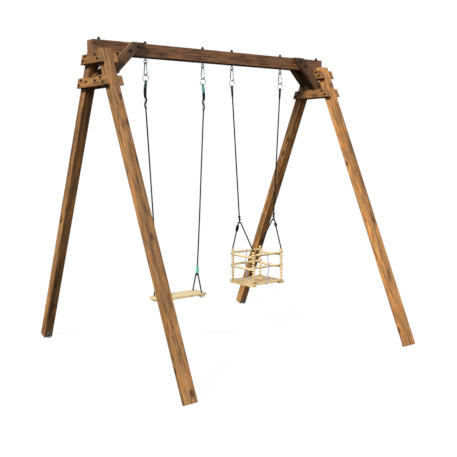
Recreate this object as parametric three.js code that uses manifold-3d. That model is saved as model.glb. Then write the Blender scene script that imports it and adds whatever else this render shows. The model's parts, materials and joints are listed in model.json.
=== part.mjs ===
// Timber double swing set: an A-framed beam that carries a plank swing and a baby swing.
// Millimetres, +Z up, origin on the ground under the middle of the frame, -Y is the front.
import * as THREE from "three";
import { mergeVertices } from "three/addons/utils/BufferGeometryUtils.js";
import Module from "manifold-3d";

const wasm = await Module();
wasm.setup();

// ---- driving dimensions -------------------------------------------------------------------
const GAP = 0.3; // clearance left between pieces that touch

const BEAM = { length: 2276, middle: -21, width: 90, bottom: 2303, top: 2400 };
const LEG = { side: 75, x: 1088, footY: 1066, footFlat: 8, lean: THREE.MathUtils.degToRad(24), top: 2334 };
const TIE = { thickness: 35, height: 70, upperZ: 2232, lowerZ: 2069 };
const BRACE = { thickness: 37, width: 75, sum: 3257 }; // sum: |x| + z along the upper edge

const SWINGS = { plain: -436, baby: 389 }; // x of the middle of each swing
const EYE_SPREAD = 265; // half the distance between the two eyes of one swing
const EYE = { z: 2275, radius: 13, wire: 4, shank: 5, flange: 12, nut: 11, domeTop: 2427 };
const HOOK = { wire: 4, topRadius: 12, bottomRadius: 21, length: 106 };
const GATE = { top: 0.16, bottom: 0.86, clearance: 0.5 }; // ends as shares of the straight side
const RING = { radius: 26, wire: 2.5 };

const ROPE_RADIUS = 5;
const CROTCH_RADIUS = 4;

const PLANK = { length: 438, width: 174, top: 462, thickness: 18, battenWidth: 34, batten: 14, inset: 16 };

const CAGE = { x: 155, y: 140, overhang: 20 }; // corner columns and how far the rails run past them
const RAIL = { end: 8.7, middle: 10, crossHole: 4.6, cordHole: 5.6, topX: 724, midX: 620, drop: 18 };
const BEAD = { radius: 10.8, waist: 6, core: 4, top: 758 };
const BASE = { top: 486, board: 14, batten: 13.7, boardWidth: 100, boardGap: 6, battenWidth: 40 };

// Rope routes as [x, y, z], x outward from the middle of the swing. The left rope mirrors the right.
const PLAIN_ROPE = [
  [265, 0, 2124], [269, 0, 2050], [269.5, 0, 1945], [261, 0, 1800], [240, 0, 1440],
  [219.5, 0, 1080], [204, 0, 840], [187.5, 0, 611.6],
];
const BABY_ROPE = [
  [265, 0, 2124], [246.5, 0, 1848], [228, 0, 1567], [209.5, 0, 1286], [191, 0, 1005.7],
];
const PLAIN_SEAT_ROPE = [
  [187.5, -60, 465], [187.5, -51, 493], [187.5, -42, 521], [187.5, -33, 549], [187.5, -24.5, 575],
  [187.5, -19, 592], [187.5, -12, 602], [187.5, 0, 606], [187.5, 12, 602], [187.5, 19, 592],
  [187.5, 24.5, 575], [187.5, 33, 549], [187.5, 42, 521], [187.5, 51, 493], [187.5, 60, 465],
];
const BABY_SEAT_ROPE = [
  [155, -140, 762], [161.8, -116, 807], [168.6, -92, 852], [175.4, -68, 897], [182.2, -44, 942],
  [186.5, -29, 970], [189.2, -19.5, 988], [190.5, -11, 997], [191, 0, 1000], [190.5, 11, 997],
  [189.2, 19.5, 988], [186.5, 29, 970], [182.2, 44, 942], [175.4, 68, 897], [168.6, 92, 852],
  [161.8, 116, 807], [155, 140, 762],
];
const CROTCH_CORD = [
  [0, -140, 739], [0, -140, 722], [0, -141.5, 700], [0, -148, 672], [0, -153.5, 645],
  [0, -155, 620], [0, -153.5, 595], [0, -148, 568], [0, -142, 541], [0, -140, 512],
  [0, -140, 476], [0, -139.4, 470], [0, -136, 466.6], [0, -130, 466], [0, -118, 466.6],
  [0, -80, 467], [0, 0, 467], [0, 80, 467], [0, 118, 466.6], [0, 130, 466], [0, 136, 466.6],
  [0, 139.4, 470], [0, 140, 476],
  [0, 140, 512], [0, 142, 541], [0, 148, 568], [0, 153.5, 595], [0, 155, 620], [0, 153.5, 645],
  [0, 148, 672], [0, 141.5, 700], [0, 140, 722], [0, 140, 739],
];

// ---- materials ----------------------------------------------------------------------------
function finish(color, roughness, metalness = 0) {
  return () => new THREE.MeshStandardMaterial({ color, roughness, metalness });
}
const stainedTimber = finish(0x7d4c27, 0.75);
const paleTimber = finish(0xe6c78d, 0.55);
const zincSteel = finish(0xa9afb6, 0.35, 1);
const darkSteel = finish(0x3c3f43, 0.45, 1);
const greyRope = finish(0x3f4745, 0.9);
const blackRope = finish(0x26282a, 0.9);
const lilacCord = finish(0x8f86c4, 0.85);

// ---- geometry helpers ---------------------------------------------------------------------
function outline(points) {
  return new THREE.Shape(points.map(([a, b]) => new THREE.Vector2(a, b)));
}

// A (y, z) outline extruded along +X from x0.
function extrudeAlongX(points, x0, depth) {
  const geometry = new THREE.ExtrudeGeometry(outline(points), { depth, bevelEnabled: false });
  const axes = new THREE.Matrix4().makeBasis(
    new THREE.Vector3(0, 1, 0), new THREE.Vector3(0, 0, 1), new THREE.Vector3(1, 0, 0));
  return geometry.applyMatrix4(axes).translate(x0, 0, 0);
}

// An (x, z) outline extruded along Y, from y0 to y0 + depth.
function extrudeAlongY(points, y0, depth) {
  const geometry = new THREE.ExtrudeGeometry(outline(points), { depth, bevelEnabled: false });
  return geometry.rotateX(Math.PI / 2).translate(0, y0 + depth, 0);
}

function block(xMin, xMax, yMin, yMax, zMin, zMax) {
  const geometry = new THREE.BoxGeometry(xMax - xMin, yMax - yMin, zMax - zMin);
  return geometry.translate((xMin + xMax) / 2, (yMin + yMax) / 2, (zMin + zMax) / 2);
}

function tube(points, radius, sides, steps) {
  const section = outline(Array.from({ length: sides }, (_, i) => {
    const angle = (2 * Math.PI * (i + 0.5)) / sides;
    return [radius * Math.cos(angle), radius * Math.sin(angle)];
  }));
  const route = points.map(([x, y, z]) => new THREE.Vector3(x, y, z));
  const extrudePath = new THREE.CatmullRomCurve3(route, false, "centripetal");
  return new THREE.ExtrudeGeometry(section, { steps, extrudePath, bevelEnabled: false });
}

// A profile of [radius, z] points turned about the Z axis.
function turned(profile, segments) {
  const points = profile.map(([r, z]) => new THREE.Vector2(r, z));
  return new THREE.LatheGeometry(points, segments).rotateX(Math.PI / 2);
}

function rod(radius, zMin, zMax, x, y, segments = 12) {
  const geometry = new THREE.CylinderGeometry(radius, radius, zMax - zMin, segments);
  return geometry.rotateX(Math.PI / 2).translate(x, y, (zMin + zMax) / 2);
}

function toSolid(geometry) {
  const bare = geometry.clone();
  bare.deleteAttribute("normal");
  bare.deleteAttribute("uv");
  const merged = mergeVertices(bare, 1e-3);
  const flat = merged.index.array;
  const triangles = [];
  for (let i = 0; i < flat.length; i += 3) {
    const [a, b, c] = [flat[i], flat[i + 1], flat[i + 2]];
    if (a !== b && b !== c && c !== a) triangles.push(a, b, c);
  }
  const vertProperties = new Float32Array(merged.attributes.position.array);
  const triVerts = new Uint32Array(triangles);
  return new wasm.Manifold(new wasm.Mesh({ numProp: 3, vertProperties, triVerts }));
}

function toGeometry(solid) {
  const mesh = solid.getMesh();
  const geometry = new THREE.BufferGeometry();
  geometry.setAttribute("position", new THREE.BufferAttribute(new Float32Array(mesh.vertProperties), 3));
  geometry.setIndex(new THREE.BufferAttribute(new Uint32Array(mesh.triVerts), 1));
  const faceted = geometry.toNonIndexed();
  faceted.computeVertexNormals();
  return faceted;
}

function cut(geometry, ...tools) {
  return toGeometry(tools.reduce((solid, tool) => solid.subtract(toSolid(tool)), toSolid(geometry)));
}

function join(geometry, ...others) {
  return toGeometry(others.reduce((solid, other) => solid.add(toSolid(other)), toSolid(geometry)));
}

function mirrorX(points) {
  return points.map(([x, ...rest]) => [-x, ...rest]);
}

function piece(parent, name, geometry, material) {
  const mesh = new THREE.Mesh(geometry, material());
  mesh.name = name;
  parent.add(mesh);
  return mesh;
}

const SIDES = [["left", -1], ["right", 1]];
const ENDS = [["front", -1], ["back", 1]];

// ---- timber frame -------------------------------------------------------------------------
const leanTan = Math.tan(LEG.lean);
const leanCos = Math.cos(LEG.lean);
const leanSin = Math.sin(LEG.lean);
const innerLegY = (z) => LEG.footY - z * leanTan;
const outerLegY = (z) => innerLegY(z) + LEG.side / leanCos;
const LEG_OUTER_X = LEG.x + LEG.side / 2;
const LEG_INNER_X = LEG.x - LEG.side / 2;

function addBeam(parent) {
  const { length, middle, width, bottom, top } = BEAM;
  const bar = block(middle - length / 2, middle + length / 2, -width / 2, width / 2, bottom, top);
  const holes = Object.values(SWINGS).flatMap((swingX) => SIDES.map(([, side]) =>
    rod(EYE.shank + 0.6, bottom - 5, top + 5, swingX + side * EYE_SPREAD, 0)));
  piece(parent, "top_beam", cut(bar, ...holes), stainedTimber);
}

// A leg leans against the side of the beam. It is cut level at the top and square at the foot,
// with a narrow level flat where the foot bears on the ground.
function legOutline(end) {
  const beamSide = BEAM.width / 2 + GAP;
  const footReach = LEG.side - LEG.footFlat * leanCos;
  const footFlatEnd = LEG.footY + LEG.footFlat;
  const points = [
    [LEG.footY, 0],
    [footFlatEnd, 0],
    [footFlatEnd + footReach * leanCos, footReach * leanSin],
    [outerLegY(LEG.top), LEG.top],
    [beamSide, LEG.top],
    [beamSide, (LEG.footY - beamSide) / leanTan],
  ];
  return points.map(([y, z]) => [end * y, z]);
}

function addLegs(parent) {
  for (const [sideName, side] of SIDES) {
    for (const [endName, end] of ENDS) {
      const x0 = side * LEG.x - LEG.side / 2;
      const geometry = extrudeAlongX(legOutline(end), x0, LEG.side);
      piece(parent, `leg_${endName}_${sideName}`, geometry, stainedTimber);
    }
  }
}

// Ties clamp each pair of legs from both faces. Their ends follow the slope of the legs.
function addTies(parent) {
  for (const [sideName, side] of SIDES) {
    for (const [level, z0] of [["upper", TIE.upperZ], ["lower", TIE.lowerZ]]) {
      const z1 = z0 + TIE.height;
      const [low, high] = [outerLegY(z0), outerLegY(z1)];
      const shape = [[-low, z0], [low, z0], [high, z1], [-high, z1]];
      const outerX = LEG_OUTER_X + GAP;
      const innerX = LEG_INNER_X - GAP - TIE.thickness;
      for (const [face, x0] of [["outer", outerX], ["inner", innerX]]) {
        const start = side > 0 ? x0 : -x0 - TIE.thickness;
        piece(parent, `tie_${level}_${face}_${sideName}`,
          extrudeAlongX(shape, start, TIE.thickness), stainedTimber);
      }
    }
  }
}

// Knee braces at 45 degrees run from the beam's side faces down between the lower ties. They are
// notched over the lower inner tie and under the upper one.
function braceOutline() {
  const span = BRACE.width * Math.SQRT2;
  const topZ = BEAM.top;
  const endX = LEG_OUTER_X - GAP;
  const notchX = LEG_INNER_X + GAP;
  const notchZ = TIE.lowerZ + TIE.height + GAP;
  const tieX = LEG_INNER_X - GAP - TIE.thickness - GAP;
  const tieZ = TIE.upperZ - GAP;
  const lowEdge = BRACE.sum - span;
  return [
    [lowEdge - topZ, topZ],
    [BRACE.sum - topZ, topZ],
    [tieX, BRACE.sum - tieX],
    [tieX, tieZ],
    [BRACE.sum - tieZ, tieZ],
    [endX, BRACE.sum - endX],
    [endX, TIE.lowerZ],
    [lowEdge - TIE.lowerZ, TIE.lowerZ],
    [notchX, lowEdge - notchX],
    [notchX, notchZ],
    [lowEdge - notchZ, notchZ],
  ];
}

function addBraces(parent) {
  for (const [sideName, side] of SIDES) {
    for (const [endName, end] of ENDS) {
      const shape = braceOutline().map(([x, z]) => [side * x, z]);
      const near = BEAM.width / 2 + GAP;
      const y0 = end > 0 ? near : -near - BRACE.thickness;
      piece(parent, `brace_${endName}_${sideName}`,
        extrudeAlongY(shape, y0, BRACE.thickness), stainedTimber);
    }
  }
}

// ---- hanging hardware ---------------------------------------------------------------------
// Eye bolt: the eye, a flange under the beam, the shank through it, a washer and a domed nut.
function eyeBoltGeometry() {
  const { z, radius, wire, shank, flange, nut, domeTop } = EYE;
  const eye = new THREE.TorusGeometry(radius, wire, 8, 16).rotateX(Math.PI / 2).translate(0, 0, z);
  const stem = turned([
    [0, z + radius - 1], [shank, z + radius - 1], [shank, BEAM.bottom - 4],
    [flange, BEAM.bottom - 3.4], [flange, BEAM.bottom - GAP], [shank, BEAM.bottom - GAP],
    [shank, BEAM.top + GAP], [flange + 2, BEAM.top + GAP], [flange + 2, BEAM.top + 3],
    [nut, BEAM.top + 3], [nut, BEAM.top + 10], [nut * 0.7, domeTop - 2], [0, domeTop],
  ], 12);
  return join(eye, stem);
}

const HOOK_TOP_Z = EYE.z - EYE.radius + EYE.wire + GAP + HOOK.wire; // wire centre line
const HOOK_BOTTOM_Z = HOOK_TOP_Z - HOOK.length + 2 * HOOK.wire;
const hookTopCentre = HOOK_TOP_Z - HOOK.topRadius;
const hookBottomCentre = HOOK_BOTTOM_Z + HOOK.bottomRadius;
const hookTaper = Math.asin((HOOK.bottomRadius - HOOK.topRadius) / (hookTopCentre - hookBottomCentre));

// A point on the hook's straight side, 0 at the top bend and 1 at the bottom bend.
function hookSide(side, share) {
  const [c, s] = [Math.cos(hookTaper), Math.sin(hookTaper)];
  const top = [HOOK.topRadius * c, hookTopCentre + HOOK.topRadius * s];
  const bottom = [HOOK.bottomRadius * c, hookBottomCentre + HOOK.bottomRadius * s];
  const y = top[0] + (bottom[0] - top[0]) * share;
  const z = top[1] + (bottom[1] - top[1]) * share;
  return [0, side * y, z];
}

function arcYZ(centreZ, radius, from, to, count) {
  return Array.from({ length: count }, (_, i) => {
    const angle = from + ((to - from) * i) / (count - 1);
    return [0, radius * Math.cos(angle), centreZ + radius * Math.sin(angle)];
  });
}

// Pear-shaped snap hook in the YZ plane. Its gate closes the front side, hinged at the top.
function hookGeometry() {
  const route = [
    hookSide(-1, GATE.top),
    ...arcYZ(hookTopCentre, HOOK.topRadius, Math.PI - hookTaper, hookTaper, 9),
    hookSide(1, 0.33),
    hookSide(1, 0.67),
    ...arcYZ(hookBottomCentre, HOOK.bottomRadius, hookTaper, -Math.PI - hookTaper, 12),
    hookSide(-1, GATE.bottom),
  ];
  return tube(route, HOOK.wire, 8, 34);
}

function gateGeometry() {
  const start = new THREE.Vector3(...hookSide(-1, GATE.top));
  const end = new THREE.Vector3(...hookSide(-1, GATE.bottom));
  const along = end.clone().sub(start).normalize();
  const reach = HOOK.wire + GATE.clearance;
  const length = start.distanceTo(end) - 2 * reach;
  const capsule = new THREE.CapsuleGeometry(HOOK.wire - GAP, length, 3, 8);
  const turn = new THREE.Quaternion().setFromUnitVectors(new THREE.Vector3(0, 1, 0), along);
  const middle = start.clone().add(end).multiplyScalar(0.5);
  return capsule.applyQuaternion(turn).translate(middle.x, middle.y, middle.z);
}

function ringGeometry() {
  const topZ = HOOK_BOTTOM_Z + HOOK.wire + GAP + RING.wire;
  const ring = new THREE.TorusGeometry(RING.radius, RING.wire, 8, 20).rotateX(Math.PI / 2);
  return ring.translate(0, 0, topZ - RING.radius);
}

function addHangers(parent, swing) {
  for (const [sideName, side] of SIDES) {
    const hanger = new THREE.Group();
    hanger.position.x = side * EYE_SPREAD;
    parent.add(hanger);
    const label = `${swing}_${sideName}`;
    piece(hanger, `eye_bolt_${label}`, eyeBoltGeometry(), darkSteel);
    piece(hanger, `snap_hook_${label}`, hookGeometry(), zincSteel);
    piece(hanger, `hook_gate_${label}`, gateGeometry(), zincSteel);
    piece(hanger, `hook_ring_${label}`, ringGeometry(), zincSteel);
  }
}

function addRopes(parent, swing, mainRoute, seatRoute, material) {
  for (const [sideName, side] of SIDES) {
    const turn = (route) => (side > 0 ? route : mirrorX(route));
    piece(parent, `rope_${swing}_${sideName}`, tube(turn(mainRoute), ROPE_RADIUS, 8, 12), material);
    piece(parent, `seat_rope_${swing}_${sideName}`, tube(turn(seatRoute), ROPE_RADIUS, 8, 22), material);
  }
}

// ---- plank swing --------------------------------------------------------------------------
function addPlankSeat(parent) {
  const { length, width, top, thickness, battenWidth, batten, inset } = PLANK;
  const half = length / 2;
  const under = top - thickness;
  const foot = under - batten;
  const outer = half - inset;
  const inner = outer - battenWidth;
  const shape = [
    [-half, top], [-half, under], [-outer, under], [-outer, foot], [-inner, foot], [-inner, under],
    [inner, under], [inner, foot], [outer, foot], [outer, under], [half, under], [half, top],
  ];
  piece(parent, "plank_seat", extrudeAlongY(shape, -width / 2, width), paleTimber);
}

// ---- baby seat ----------------------------------------------------------------------------
// A turned rail, thicker in the middle, drilled where it crosses the corner ropes. The crotch cord
// is drilled through the top rails and passes outside the middle ones.
function railGeometry(halfLength, halfCross, cordHole) {
  const { end, middle, crossHole } = RAIL;
  const half = [[0, 0], [end - 2.4, 0], [end, 5], [end, 44], [middle, 84]];
  const profile = [
    ...half.map(([r, inset]) => [r, -halfLength + inset]),
    ...half.toReversed().map(([r, inset]) => [r, halfLength - inset]),
  ];
  const bar = turned(profile, 8).rotateY(Math.PI / 2);
  const drills = [-halfCross, halfCross].map((x) => rod(crossHole, -20, 20, x, 0, 8));
  if (cordHole) drills.push(rod(RAIL.cordHole, -20, 20, 0, 0, 8));
  return cut(bar, ...drills);
}

function addRails(parent) {
  for (const [level, z] of [["top", RAIL.topX], ["mid", RAIL.midX]]) {
    for (const [endName, end] of ENDS) {
      const rail = piece(parent, `rail_${level}_${endName}`,
        railGeometry(CAGE.x + CAGE.overhang, CAGE.x, level === "top"), paleTimber);
      rail.position.set(0, end * CAGE.y, z);
    }
    for (const [sideName, side] of SIDES) {
      const rail = piece(parent, `rail_${level}_${sideName}`,
        railGeometry(CAGE.y + CAGE.overhang, CAGE.y, false), paleTimber);
      rail.position.set(side * CAGE.x, 0, z - RAIL.drop);
      rail.rotation.z = Math.PI / 2;
    }
  }
}

// One bead as profile points, without its first waist.
function beadProfile(zMin, zMax) {
  const { radius, waist } = BEAD;
  const height = zMax - zMin;
  return [
    [radius, zMin + height * 0.3],
    [radius, zMin + height * 0.7],
    [waist, zMax],
  ];
}

function beadStack(zMin, zMax, count) {
  const height = (zMax - zMin) / count;
  const profile = [[BEAD.core, zMin], [BEAD.waist, zMin]];
  for (let i = 0; i < count; i += 1) {
    profile.push(...beadProfile(zMin + i * height, zMin + (i + 1) * height));
  }
  profile.push([BEAD.core, zMax]);
  return profile;
}

// The beads of one corner on their cord: four below the middle rails, three between, one on top.
function addBeadColumns(parent) {
  const seatZ = BASE.top + GAP;
  const under = (z) => z - RAIL.drop - RAIL.end - GAP;
  const over = (z) => z + RAIL.end + GAP;
  const profile = [
    [0, seatZ],
    ...beadStack(seatZ, under(RAIL.midX), 4).slice(1),
    ...beadStack(over(RAIL.midX), under(RAIL.topX), 3),
    ...beadStack(over(RAIL.topX), BEAD.top, 1).slice(0, -1),
    [0, BEAD.top],
  ];
  for (const [sideName, side] of SIDES) {
    for (const [endName, end] of ENDS) {
      const column = piece(parent, `bead_column_${endName}_${sideName}`, turned(profile, 8), paleTimber);
      column.position.set(side * CAGE.x, end * CAGE.y, 0);
    }
  }
}

// Three boards across two battens. The crotch cord passes through the outer boards.
function addBase(parent) {
  const { top, board, batten, boardWidth, boardGap, battenWidth } = BASE;
  const halfX = CAGE.x + CAGE.overhang;
  const pitch = boardWidth + boardGap;
  const under = top - board;
  for (const [name, row] of [["front", -1], ["middle", 0], ["back", 1]]) {
    const y = row * pitch;
    const plank = block(-halfX, halfX, y - boardWidth / 2, y + boardWidth / 2, under, top);
    const drill = rod(RAIL.cordHole, under - 5, top + 5, 0, row * CAGE.y);
    piece(parent, `base_board_${name}`, row === 0 ? plank : cut(plank, drill), paleTimber);
  }
  const halfY = pitch + boardWidth / 2;
  for (const [sideName, side] of SIDES) {
    const xs = [side * halfX, side * (halfX - battenWidth)].toSorted((a, b) => a - b);
    piece(parent, `base_batten_${sideName}`,
      block(...xs, -halfY, halfY, under - GAP - batten, under - GAP), paleTimber);
  }
}

// ---- assembly -----------------------------------------------------------------------------
const swingSet = new THREE.Group();

const frame = new THREE.Group();
addBeam(frame);
addLegs(frame);
addTies(frame);
addBraces(frame);
swingSet.add(frame);

const plainSwing = new THREE.Group();
plainSwing.position.x = SWINGS.plain;
addHangers(plainSwing, "plain");
addRopes(plainSwing, "plain", PLAIN_ROPE, PLAIN_SEAT_ROPE, greyRope);
addPlankSeat(plainSwing);
swingSet.add(plainSwing);

const babySwing = new THREE.Group();
babySwing.position.x = SWINGS.baby;
addHangers(babySwing, "baby");
addRopes(babySwing, "baby", BABY_ROPE, BABY_SEAT_ROPE, blackRope);
addRails(babySwing);
addBeadColumns(babySwing);
addBase(babySwing);
piece(babySwing, "crotch_cord", tube(CROTCH_CORD, CROTCH_RADIUS, 8, 110), lilacCord);
swingSet.add(babySwing);

export default swingSet;
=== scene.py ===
"""Looks of the timber double swing set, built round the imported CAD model. Metres, +Z up, -Y is the front."""

import json
import math

import bpy
import numpy as np
from mathutils import Matrix, Vector


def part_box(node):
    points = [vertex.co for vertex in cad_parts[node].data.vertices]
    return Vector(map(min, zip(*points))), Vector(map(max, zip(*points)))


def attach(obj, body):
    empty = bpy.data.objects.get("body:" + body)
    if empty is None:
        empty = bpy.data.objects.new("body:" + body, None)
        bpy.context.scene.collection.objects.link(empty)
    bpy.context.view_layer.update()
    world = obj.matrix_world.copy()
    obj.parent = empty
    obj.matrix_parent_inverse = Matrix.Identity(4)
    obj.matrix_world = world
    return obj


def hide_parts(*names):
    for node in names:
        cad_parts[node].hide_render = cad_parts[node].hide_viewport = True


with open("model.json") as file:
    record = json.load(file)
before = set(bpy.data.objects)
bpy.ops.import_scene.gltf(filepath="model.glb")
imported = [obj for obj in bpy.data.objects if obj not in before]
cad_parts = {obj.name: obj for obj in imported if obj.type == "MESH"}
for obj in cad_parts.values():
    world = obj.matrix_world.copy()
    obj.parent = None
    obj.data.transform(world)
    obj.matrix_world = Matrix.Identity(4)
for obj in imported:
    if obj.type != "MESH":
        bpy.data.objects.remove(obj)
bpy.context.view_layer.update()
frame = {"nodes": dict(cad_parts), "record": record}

SIDES = (("left", -1), ("right", 1))
ENDS = (("front", -1), ("back", 1))
CORNERS = [(f"{end_name}_{side_name}", side, end) for side_name, side in SIDES for end_name, end in ENDS]
X_AXIS, Y_AXIS, Z_AXIS = Vector((1, 0, 0)), Vector((0, 1, 0)), Vector((0, 0, 1))
TURN = 2 * math.pi

# Driving dimensions, from the CAD model.
ROPE_RADIUS = 0.005
BRAID_SWELL = 1.14  # the strands of a braided rope stand proud of its measured thickness
CROTCH_RADIUS = 0.004
SWINGS = {"plain": -0.436, "baby": 0.389}
LEG_LEAN = math.radians(24)
LEG_HEEL = 1.066
BRACE_SUM = 3.1509  # |x| + z on the lower edge of a knee brace
CAGE_X, CAGE_Y = 0.155, 0.140

# Camera.
CAMERA_PLACE = (-3.5919, -4.7468, 1.6270)
CAMERA_YAW, CAMERA_PITCH, CAMERA_ROLL = (math.radians(a) for a in (52.280, -6.390, -0.348))
CAMERA_LENS = 56.734


def in_scene(made):
    bpy.context.scene.collection.objects.link(made)
    return made


def add_camera():
    camera = in_scene(bpy.data.objects.new("camera", bpy.data.cameras.new("camera")))
    camera.data.lens = CAMERA_LENS
    camera.data.sensor_width = 36
    heading = Matrix.Rotation(CAMERA_YAW - TURN / 4, 4, "Z")
    tilt = Matrix.Rotation(CAMERA_PITCH + TURN / 4, 4, "X")
    roll = Matrix.Rotation(CAMERA_ROLL, 4, "Z")
    camera.matrix_world = Matrix.Translation(CAMERA_PLACE) @ heading @ tilt @ roll
    bpy.context.scene.camera = camera


add_camera()


# Mesh helpers. A part is (vertices, faces). Several parts make one piece.
def grid_faces(rows, columns, wrap_rows=False):
    """Quads between rings of vertices, each ring closed on itself."""
    faces = []
    for i in range(rows if wrap_rows else rows - 1):
        a, b = i * columns, (i + 1) % rows * columns
        faces += [(a + j, a + (j + 1) % columns, b + (j + 1) % columns, b + j) for j in range(columns)]
    return faces


def capped(rings):
    """A solid through rings of points, closed with a face at each end."""
    rings = np.asarray(rings, float)
    rows, columns = rings.shape[:2]
    faces = grid_faces(rows, columns)
    faces.append(tuple(reversed(range(columns))))
    faces.append(tuple(range((rows - 1) * columns, rows * columns)))
    return rings.reshape(-1, 3), faces


def circle(count):
    angles = TURN * np.arange(count) / count
    return np.stack([np.cos(angles), np.sin(angles)], axis=1)


def turned(profile, segments=24):
    """A profile of (radius, z) points turned about the Z axis."""
    ring = circle(segments)
    return capped([np.column_stack([ring * max(r, 1e-5), np.full(segments, z)]) for r, z in profile])


def frames_along(line, closed=False):
    """Two unit vectors across the line at each point, carried along without twist."""
    steps = np.roll(line, -1, 0) - np.roll(line, 1, 0) if closed else np.gradient(line, axis=0)
    tangents = steps / np.linalg.norm(steps, axis=1)[:, None]
    across = np.cross(tangents[0], (0.0, 0.0, 1.0))
    if np.linalg.norm(across) < 0.1:
        across = np.cross(tangents[0], (1.0, 0.0, 0.0))
    first = []
    for tangent in tangents:
        across = across - tangent * (across @ tangent)
        across = across / np.linalg.norm(across)
        first.append(across)
    return np.array(first), np.cross(tangents, first)


def swept(line, sections, closed=False):
    """A tube along line. sections holds each station's outline as (across, up) points."""
    line = np.asarray(line, float)
    first, second = frames_along(line, closed)
    rings = line[:, None] + sections[:, :, :1] * first[:, None] + sections[:, :, 1:] * second[:, None]
    if closed:
        rows, columns = rings.shape[:2]
        return rings.reshape(-1, 3), grid_faces(rows, columns, wrap_rows=True)
    return capped(rings)


def tube(line, radius, sides=12, closed=False):
    """A round tube along line; radius is a number or one value for each point."""
    radii = np.broadcast_to(np.asarray(radius, float), (len(line),))
    return swept(line, radii[:, None, None] * circle(sides)[None], closed)


def ring_line(centre, radius, first, second, count):
    """Points of a circle in the plane of two axes."""
    centre, first, second = (np.asarray(v, float) for v in (centre, first, second))
    spokes = circle(count) * radius
    return centre + spokes[:, :1] * first + spokes[:, 1:] * second


def between(a, b, start, end, t):
    return (end - t) / (end - start) * a + (t - start) / (end - start) * b


def ring_part(centre, radius, thickness, first, second, count=36, sides=12):
    """A round wire or cord bent into a closed ring."""
    return tube(ring_line(centre, radius, first, second, count), thickness, sides, closed=True)


def smooth_line(points, step):
    """Points about step apart on a smooth curve through the given ones."""
    p = np.asarray(points, float)
    p = np.vstack([2 * p[0] - p[1], p, 2 * p[-1] - p[-2]])
    out = []
    for a, b, c, d in zip(p, p[1:], p[2:], p[3:], strict=False):
        knots = np.cumsum([0] + [np.linalg.norm(v) ** 0.5 for v in (b - a, c - b, d - c)])
        t0, t1, t2, t3 = knots
        for t in np.linspace(t1, t2, 16, endpoint=False):
            ab, bc, cd = between(a, b, t0, t1, t), between(b, c, t1, t2, t), between(c, d, t2, t3, t)
            out.append(between(between(ab, bc, t0, t2, t), between(bc, cd, t1, t3, t), t1, t2, t))
    out.append(p[-2])
    out = np.array(out)
    along = np.concatenate([[0], np.cumsum(np.linalg.norm(np.diff(out, axis=0), axis=1))])
    marks = np.linspace(0, along[-1], max(2, round(along[-1] / step) + 1))
    return np.column_stack([np.interp(marks, along, out[:, i]) for i in range(3)])


def moved(part, matrix):
    vertices, faces = part
    vertices = np.asarray(vertices, float)
    placed = vertices @ np.array(matrix.to_3x3()).T + np.array(matrix.translation)
    return placed, faces


def facing(direction, place):
    """The matrix that turns +Z to direction and moves the origin to place."""
    turn = Vector(direction).to_track_quat("Z", "Y").to_matrix().to_4x4()
    return Matrix.Translation(place) @ turn


def mesh_object(name, vertices, faces, material):
    mesh = bpy.data.meshes.new(name)
    mesh.from_pydata(vertices, [], faces)
    mesh.materials.append(material)
    return in_scene(bpy.data.objects.new(name, mesh))


def piece(name, parts, body, material, sharp=35, instead_of=None):
    """One object from its parts, smooth but for its sharp edges, riding on a CAD body.

    instead_of names the CAD node that it takes the place of.
    """
    vertices, faces, start = [], [], 0
    for part_vertices, part_faces in parts:
        vertices.append(np.asarray(part_vertices, float))
        faces.extend(tuple(start + i for i in face) for face in part_faces)
        start += len(part_vertices)
    made = mesh_object(name, np.vstack(vertices).tolist(), faces, material)
    made.data.polygons.foreach_set("use_smooth", [True] * len(faces))
    made.data.set_sharp_from_angle(angle=math.radians(sharp))
    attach(made, body)
    if instead_of:
        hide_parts(instead_of)
    return made


def box_part(low, high, bevel):
    """A block between two corners, with its edges cut off all round."""
    (x0, y0, z0), (x1, y1, z1) = low, high
    rings = []
    for z, cut in ((z0, bevel), (z0 + bevel, 0), (z1 - bevel, 0), (z1, bevel)):
        c = cut + bevel
        rings.append([
            (x0 + c, y0 + cut, z), (x1 - c, y0 + cut, z), (x1 - cut, y0 + c, z), (x1 - cut, y1 - c, z),
            (x1 - c, y1 - cut, z), (x0 + c, y1 - cut, z), (x0 + cut, y1 - c, z), (x0 + cut, y0 + c, z),
        ])
    return capped(rings)


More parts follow.
